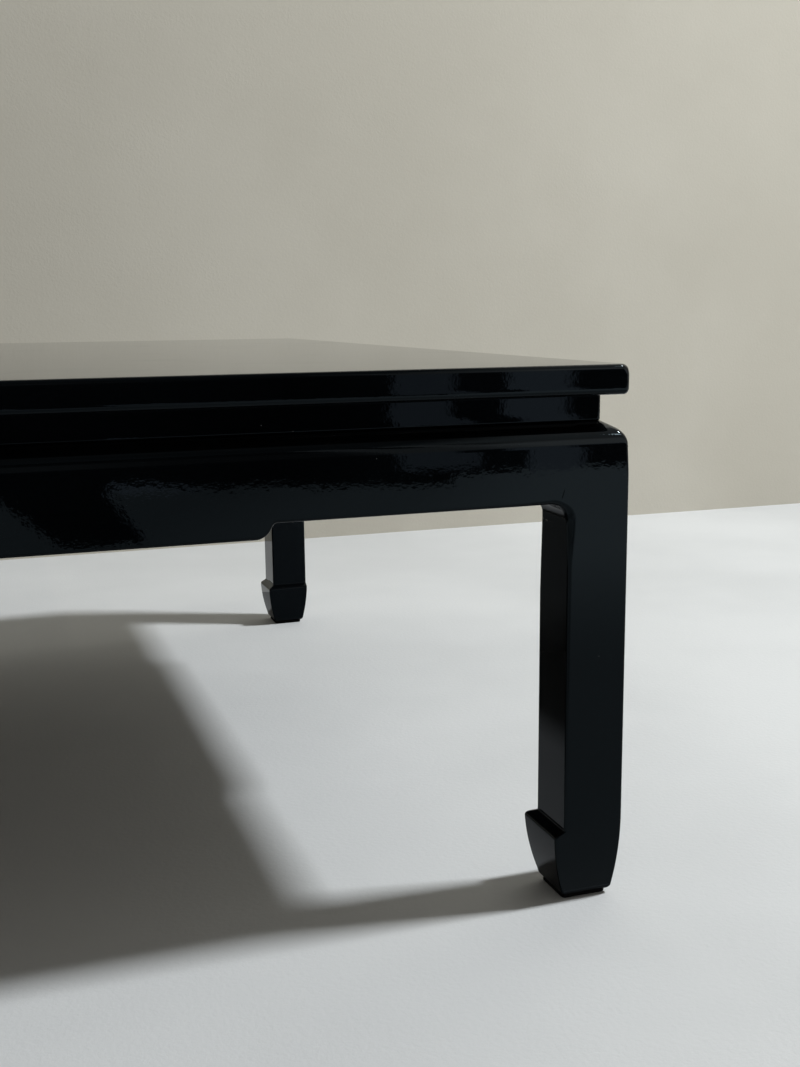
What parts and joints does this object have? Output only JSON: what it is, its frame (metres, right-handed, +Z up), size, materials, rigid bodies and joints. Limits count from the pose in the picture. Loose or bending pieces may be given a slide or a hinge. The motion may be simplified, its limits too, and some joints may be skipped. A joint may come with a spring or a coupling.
{
  "type": "coffee table",
  "caption": "Low square black-lacquered coffee table with a flush mitred top, recessed waist, stepped aprons and inward-curling hoof feet.",
  "frame": {"origin": "centre of the table's footprint on the floor, at the underside of the foot pads", "axes": "+Z up; -Y towards the front shown in the picture; +X to the right seen from that front"},
  "size_m": [0.95, 0.95, 0.4],
  "materials": {
    "black_lacquer": "high-gloss black lacquer over hardwood, faint orange-peel ripple",
    "inner_wood": "dark-stained hardwood, satin",
    "foot_felt": "dense black felt, matt"
  },
  "bodies": {
    "root": {"apron_back": "black_lacquer", "apron_front": "black_lacquer", "apron_key_back_left": "inner_wood", "apron_key_back_right": "inner_wood", "apron_key_front_left": "inner_wood", "apron_key_front_right": "inner_wood", "apron_key_left_back": "inner_wood", "apron_key_left_front": "inner_wood", "apron_key_right_back": "inner_wood", "apron_key_right_front": "inner_wood", "apron_left": "black_lacquer", "apron_right": "black_lacquer", "foot_pad_back_left": "foot_felt", "foot_pad_back_right": "foot_felt", "foot_pad_front_left": "foot_felt", "foot_pad_front_right": "foot_felt", "leg_back_left": "black_lacquer", "leg_back_right": "black_lacquer", "leg_front_left": "black_lacquer", "leg_front_right": "black_lacquer", "panel_batten_centre": "inner_wood", "panel_batten_left": "inner_wood", "panel_batten_right": "inner_wood", "rail_pegs": "inner_wood", "top_panel": "black_lacquer", "top_rail_back": "black_lacquer", "top_rail_front": "black_lacquer", "top_rail_left": "black_lacquer", "top_rail_right": "black_lacquer", "waist_back": "black_lacquer", "waist_front": "black_lacquer", "waist_left": "black_lacquer", "waist_right": "black_lacquer"}
  },
  "joints": []
}
